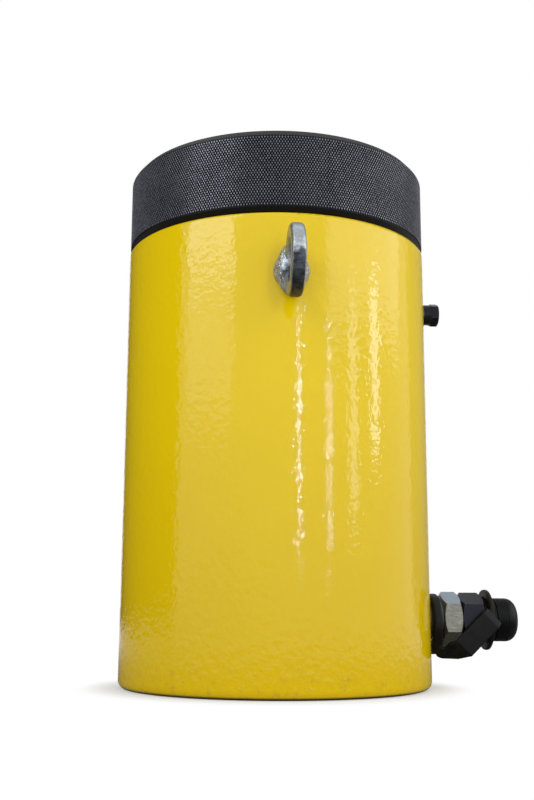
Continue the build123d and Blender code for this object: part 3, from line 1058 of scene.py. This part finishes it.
@dataclass
class ForgedEyebolt:
    """A galvanised lifting eye: a forged ring that flows through a web into a round collar."""

    ring_r: float = 17.3 * MM
    section: float = 9.0 * MM
    corner: float = 2.6 * MM
    corner_steps: int = 3
    drop: float = 0.7 * MM
    collar_r: float = 11.4 * MM
    collar_t: float = 5.0 * MM
    edge: float = 0.9 * MM
    neck_r: float = 7.6 * MM
    thread_r: float = 5.0 * MM
    thread_l: float = 16.5 * MM
    voxel: float = 0.42 * MM
    passes: int = 8
    hammered: float = 0.35 * MM
    dent_level: float = 0.75
    dent_size: float = 5 * MM
    web: Point = (9.6 * MM, 6.6 * MM, 17 * MM)
    web_out: float = 5.0 * MM

    def ring(self) -> Piece:
        """The ring about Z, its section a square with round corners."""
        straight = self.section / 2 - self.corner
        outline = []
        for quarter, (side_r, side_z) in enumerate(((1, 1), (-1, 1), (-1, -1), (1, -1))):
            for step in range(self.corner_steps + 1):
                turn = math.pi / 2 * (quarter + step / self.corner_steps)
                outline.append((self.ring_r + side_r * straight + self.corner * math.cos(turn),
                                side_z * straight + self.corner * math.sin(turn)))
        return turned("eye_ring", outline, segments=96, ring=True)

    def stem(self, reach: float) -> Piece:
        """The threaded shank, collar and neck about Z, the collar's seat at the height 0.

        Args:
            reach: how far the neck runs, into the ring.

        Returns:
            The stem.
        """
        edge = self.edge
        return turned("eye_stem", [
            (self.thread_r, -self.thread_l),
            (self.thread_r, 0),
            (self.collar_r - edge, 0),
            (self.collar_r, edge),
            (self.collar_r, self.collar_t - 2 * edge),
            (self.collar_r - edge, self.collar_t),
            (self.neck_r + 1.6 * edge, self.collar_t + 2.5 * edge),
            (self.neck_r, reach - 3 * edge),
            (self.neck_r - edge, reach),
        ], segments=64)

    def build(self) -> list[Piece]:
        """Makes the front eyebolt, and the rear one as its copy."""
        low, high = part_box("front_eyebolt")
        wall = -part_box("cylinder_body")[1].x
        centre_z = (low.z + high.z) / 2 - self.drop
        centre_y = low.y + (high.z - low.z) / 2
        ring = settle(self.ring(), Matrix.Translation((0, centre_y, centre_z)) @ QUARTER_ABOUT_Y)
        stem = self.stem(wall - centre_y - self.ring_r + self.section / 3)
        settle(stem, Matrix.Translation((0, wall, centre_z)) @ Matrix.Rotation(math.pi / 2, 4, "X"))
        deselect()
        bpy.ops.mesh.primitive_uv_sphere_add(
            segments=48, ring_count=24, radius=1, scale=self.web,
            location=(0, wall - self.web_out, centre_z))
        web = settle(bpy.context.object)
        front = joined("forged_eyebolt_front", ring, stem, web)
        apply(front, "REMESH", mode="VOXEL", voxel_size=self.voxel)
        apply(front, "SMOOTH", factor=0.5, iterations=self.passes)
        dents = bpy.data.textures.new("dents", "CLOUDS")
        dents.noise_scale = self.dent_size
        apply(front, "DISPLACE", texture=dents, texture_coords="LOCAL", strength=self.hammered,
              mid_level=self.dent_level)
        smooth(front, degrees=60)
        pick(front)
        bpy.ops.object.duplicate()
        rear = bpy.context.object
        rear.name = rear.data.name = "forged_eyebolt_rear"
        settle(rear, Matrix.Rotation(math.pi, 4, "Z"))
        for piece, node in ((front, "front_eyebolt"), (rear, "rear_eyebolt")):
            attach(piece, "root")
            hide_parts(node)
            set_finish(piece, "galvanised_steel")
        return [front, rear]


@dataclass
class RibbedCap:
    """The dust cap: a plain skirt for the strap's loop, a neck, fine ribs and a domed end."""

    outer_r: float = 14.3 * MM
    bore_r: float = 12.2 * MM
    bore_depth: float = 18.4 * MM
    skirt_l: float = 4.7 * MM
    neck_r: float = 13.2 * MM
    neck_l: float = 3.4 * MM
    rib_pitch: float = 1.1 * MM
    rib_count: int = 7
    rib_depth: float = 0.42 * MM
    rib_form: tuple[Station, ...] = ((0.45, 0), (0.6, 1), (0.8, 1), (0.95, 0))
    edge: float = 0.35 * MM
    dome: float = 7.0 * MM
    dome_steps: int = 14

    def build(self) -> list[Piece]:
        """Makes the cap."""
        low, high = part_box("dust_cap")
        length = high.x - low.x
        neck_end = self.skirt_l + self.neck_l
        outline = [
            (self.bore_r, self.bore_depth),
            (self.bore_r, 0),
            (self.outer_r - self.edge, 0),
            (self.outer_r, self.edge),
            (self.outer_r, self.skirt_l - self.edge),
            (self.outer_r - self.edge, self.skirt_l),
            (self.neck_r, self.skirt_l + self.edge),
            (self.neck_r, neck_end),
            (self.outer_r, neck_end + self.edge),
        ]
        for i in range(self.rib_count):
            start = neck_end + self.edge + i * self.rib_pitch
            for share, depth in self.rib_form:
                outline.append((self.outer_r - depth * self.rib_depth,
                                start + share * self.rib_pitch))
        for i in range(self.dome_steps):
            turn = math.pi / 2 * i / self.dome_steps
            outline.append((self.outer_r - self.dome * (1 - math.cos(turn)),
                            length - self.dome * (1 - math.sin(turn))))
        outline.append((self.outer_r - self.dome, length))
        cap = turned("ribbed_cap", outline)
        settle(cap, Matrix.Translation((low.x, 0, (low.z + high.z) / 2)) @ QUARTER_ABOUT_Y)
        smooth(cap, degrees=35)
        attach(cap, "dust_cap")
        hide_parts("dust_cap")
        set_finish(cap, "cap_plastic")
        return [cap]


@dataclass
class MouldedStrap:
    """The rubber strap, with the soft edges of a moulding."""

    voxel: float = 0.4 * MM
    passes: int = 7
    still_to: float = 110 * MM
    moves_from: float = 141 * MM

    def build(self) -> list[Piece]:
        """Makes the strap from the plain solid's own form."""
        strap = bpy.data.objects.new("moulded_strap", frame["nodes"]["cap_strap"].data.copy())
        bpy.context.scene.collection.objects.link(strap)
        apply(strap, "REMESH", mode="VOXEL", voxel_size=self.voxel)
        apply(strap, "SMOOTH", factor=0.5, iterations=self.passes)
        smooth(strap, degrees=60)
        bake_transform(strap)
        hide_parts("cap_strap")
        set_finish(strap, "strap_rubber")
        return [strap]


@dataclass
class PressedSprings:
    """The springs under the saddle's screw and behind the check ball."""

    tilt_stroke: float = 1.7 * MM
    ball_clear: float = 0.3 * MM

    def copied(self, node: str) -> Piece:
        """A new piece with a plain node's form and finish, which it replaces.

        Args:
            node: the node's name.

        Returns:
            The piece.
        """
        piece = bpy.data.objects.new("pressed_" + node, frame["nodes"][node].data.copy())
        bpy.context.scene.collection.objects.link(piece)
        slots = {part["node"]: part["material_slot"] for part in frame["record"]["subparts"]}
        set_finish(piece, slots[node])
        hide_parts(node)
        return piece

    def build(self) -> list[Piece]:
        """Makes both springs."""
        joints = {joint["name"]: joint for joint in frame["record"]["behaviour"]["joints"]}
        tilt, push = joints["saddle_tilt"], joints["check_ball_push"]
        discs, coil = self.copied("saddle_spring"), self.copied("check_spring")
        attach(discs, "saddle_spring")
        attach(coil, "root")
        fixed = tilt["deforming_nodes"][0]["fixed_end_z_m"]
        keep = 1 - self.tilt_stroke / (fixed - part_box("saddle_spring")[0].z)
        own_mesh(discs)
        fixed = push["deforming_nodes"][0]["fixed_end_x_m"]
        keep = 1 - (push["range_m"][1] + self.ball_clear) / (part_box("check_spring")[1].x - fixed)
        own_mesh(coil)
        return [discs, coil]


@dataclass(frozen=True)
class Panel:
    """An upright panel beside the object: a soft lamp, or a card that the object mirrors.

    Attributes:
        name: its name.
        azimuth: degrees to the right of the camera, seen from the object.
        low: its lower edge's height.
        high: its upper edge's height.
        width: its width.
        level: a lamp's radiance, where 1 is white, or a card's tone from 0 to 255.
    """

    name: str
    azimuth: float
    low: float
    high: float
    width: float
    level: float


LAMPS = (
    Panel("left_softbox", -49, 0.42, 1.5, 1.15, 1.0),
    Panel("left_softbox_top", -49, 0.75, 1.5, 1.15, 2.6),
    Panel("right_softbox", 71, 0.62, 1.7, 2.3, 1.4),
    Panel("right_strip", 76, 0.36, 0.7, 0.2, 5.5),
    Panel("right_mid_strip", 57, 0.22, 0.66, 0.16, 3.2),
    Panel("front_strip", 17, 0.16, 0.62, 0.016, 66.0),
    Panel("front_side_strip", 38, 0.16, 0.58, 0.013, 44.0),
)
CARDS = (
    Panel("left_card", -116, 0, 2.6, 3.0, 52),
    Panel("right_card", 137, 0, 2.6, 1.3, 170),
)


@dataclass
class Scene:
    """The floor, the white surroundings, the lamps, the cards and the camera."""

    lens: float = 48.17
    sensor: float = 36.0
    eye: Point = (-0.0660, -0.7241, 0.0569)
    heading: float = 4.74
    pitch: float = 10.544
    roll: float = 0.26
    sky: float = 0.5
    daylight: Point = (0.9, 0.95, 1.0)
    lamp_distance: float = 1.6
    lamp_aim: float = 0.18
    card_distance: float = 1.7
    card_cloud: Cloud = Cloud(0.4, 2)
    card_spread: int = 8
    card_roughness: float = 0.9
    floor_size: float = 12.0
    floor_tone: Colour = (0.9, 0.9, 0.9, 1.0)
    # The floor's tone as mirrored near the object: painted shade.
    mirrored_shade_tone: Colour = (0.3, 0.29, 0.27, 1.0)
    mirrored_shade_to: float = 0.9
    shadow_range: Range = (0.1, 0.132)
    shadow_lift: float = 0.4
    far_range: Range = (0.3, 1.2)
    open_range: Range = (-0.6, -0.15)

    def camera(self) -> None:
        """Adds the camera at the photograph's place."""
        about_z = Matrix.Rotation(-math.radians(self.heading), 4, "Z")
        about_x = Matrix.Rotation(math.radians(90 + self.pitch), 4, "X")
        turn = about_z @ about_x @ Matrix.Rotation(math.radians(self.roll), 4, "Z")
        data = bpy.data.cameras.new("camera")
        data.lens = self.lens
        data.sensor_width = self.sensor
        data.clip_start = 10 * MM
        camera = bpy.data.objects.new("camera", data)
        camera.matrix_world = Matrix.Translation(self.eye) @ turn
        bpy.context.scene.collection.objects.link(camera)
        bpy.context.scene.camera = camera

    def surroundings(self) -> None:
        """Adds the world: white where it is seen or mirrored, and softer as a light."""
        world = bpy.data.worlds.new("studio")
        bpy.context.scene.world = world
        tree = Tree(world)
        seen = tree.ray("Is Camera Ray").larger(tree.ray("Is Glossy Ray"))
        seen = seen.larger(tree.ray("Is Transmission Ray"))
        back = tree.nodes["Background"]
        tree.feed(back.inputs["Color"], WHITE)
        tree.feed(back.inputs["Strength"], seen * (1.0 - self.sky) + self.sky)

    def floor(self) -> None:
        """Adds the pale floor: white but for the shadow, and painted darker, as shade, where the
        object mirrors it.
        """
        deselect()
        bpy.ops.mesh.primitive_plane_add(size=self.floor_size, location=(0, 0, 0))
        floor = bpy.context.object
        floor.name = "floor"
        tree = Tree(bpy.data.materials.new("floor_white"))
        tree.nodes.remove(tree.nodes["Principled BSDF"])
        seen, mirrored = tree.ray("Is Camera Ray"), tree.ray("Is Glossy Ray")
        outward = tree.from_axis()
        lit = tree.span(outward, *self.shadow_range) * (1.0 - self.shadow_lift) + self.shadow_lift
        far = tree.span(outward, *self.far_range) * tree.span(tree.along(Axis.X), *self.open_range)
        # Painted shade: near the object, mirrored rays see the floor darker.
        near = 1.0 - tree.span(outward, self.shadow_range[0], self.mirrored_shade_to)
        tone = tree.blend(mirrored * near, self.floor_tone, self.mirrored_shade_tone)
        plain = tree.node("ShaderNodeBsdfDiffuse", {}, {"Color": tone}).outputs[0]
        white = tree.node("ShaderNodeEmission", {}, {"Color": WHITE, "Strength": 1.0}).outputs[0]
        shares = {0: (seen * lit).larger(mirrored * far), 1: plain, 2: white}
        mix = tree.node("ShaderNodeMixShader", {}, shares)
        tree.links.new(mix.outputs[0], tree.nodes["Material Output"].inputs["Surface"])
        floor.data.materials.append(tree.owner)

    def spot(self, panel: Panel, distance: float) -> Vector:
        """The place of a panel's middle.

        Args:
            panel: the panel.
            distance: metres from the object's axis.

        Returns:
            The place.
        """
        toward_camera = Vector((self.eye[0], self.eye[1], 0)).normalized()
        spot = Matrix.Rotation(math.radians(panel.azimuth), 3, "Z") @ toward_camera * distance
        spot.z = (panel.low + panel.high) / 2
        return spot

    def lamp(self, panel: Panel) -> None:
        """Adds a lamp that faces the object.

        Args:
            panel: the lamp.
        """
        tall = panel.high - panel.low
        data = bpy.data.lights.new(panel.name, "AREA")
        data.shape = "RECTANGLE"
        data.size, data.size_y = panel.width, tall
        data.energy = panel.level * math.pi * panel.width * tall
        data.color = self.daylight
        lamp = bpy.data.objects.new(panel.name, data)
        spot = self.spot(panel, self.lamp_distance)
        turn = (Vector((0, 0, self.lamp_aim)) - spot).to_track_quat("-Z", "Y")
        lamp.matrix_world = Matrix.Translation(spot) @ turn.to_matrix().to_4x4()
        bpy.context.scene.collection.objects.link(lamp)

    def card(self, panel: Panel) -> None:
        """Adds a card that faces the object's axis, hidden from the camera itself.

        Args:
            panel: the card.
        """
        deselect()
        bpy.ops.mesh.primitive_plane_add(size=1)
        card = bpy.context.object
        card.name = card.data.name = panel.name
        spot = self.spot(panel, self.card_distance)
        turn = Vector((-spot.x, -spot.y, 0)).to_track_quat("Z", "Y").to_matrix().to_4x4()
        size = Matrix.Diagonal((panel.width, panel.high - panel.low, 1, 1))
        settle(card, Matrix.Translation(spot) @ turn @ size)
        tree = Tree(bpy.data.materials.new(panel.name))
        low, high = int(panel.level), int(panel.level) + self.card_spread
        cloud = tree.noise(self.card_cloud)
        card.data.materials.append(tree.finish({
            "Base Color": tree.blend(cloud, tint((low,) * 3), tint((high,) * 3)),
            "Roughness": self.card_roughness,
        }))
        card.visible_camera = False

    def build(self) -> None:
        """Adds everything, with the camera first."""
        bpy.context.scene.view_settings.view_transform = "Standard"
        self.camera()
        self.surroundings()
        self.floor()
        for panel in LAMPS:
            self.lamp(panel)
        for panel in CARDS:
            self.card(panel)


def dress(piece: Piece, material: bpy.types.Material) -> None:
    """Gives a piece one material.

    Args:
        piece: the piece.
        material: the material.
    """
    if piece.material_slots:
        for slot in piece.material_slots:
            slot.material = material
    else:
        piece.data.materials.append(material)


def main() -> None:
    """Builds the scene around the frame, piece by piece."""
    logging.basicConfig(level=logging.INFO, format="%(message)s")
    deselect()
    Scene().build()
    materials = {slot: finish.make(slot) for slot, finish in FINISHES.items()}
    for part in frame["record"]["subparts"]:
        dress(frame["nodes"][part["node"]], materials[part["material_slot"]])
    for assembly in (KnurledNut, Plunger, ForgedEyebolt, RibbedCap, MouldedStrap, PressedSprings):
        for piece in assembly().build():
            dress(piece, materials[piece["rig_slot"]])
            log.info("%s: %d faces", piece.name, len(piece.data.polygons))


if __name__ == "__main__":
    main()
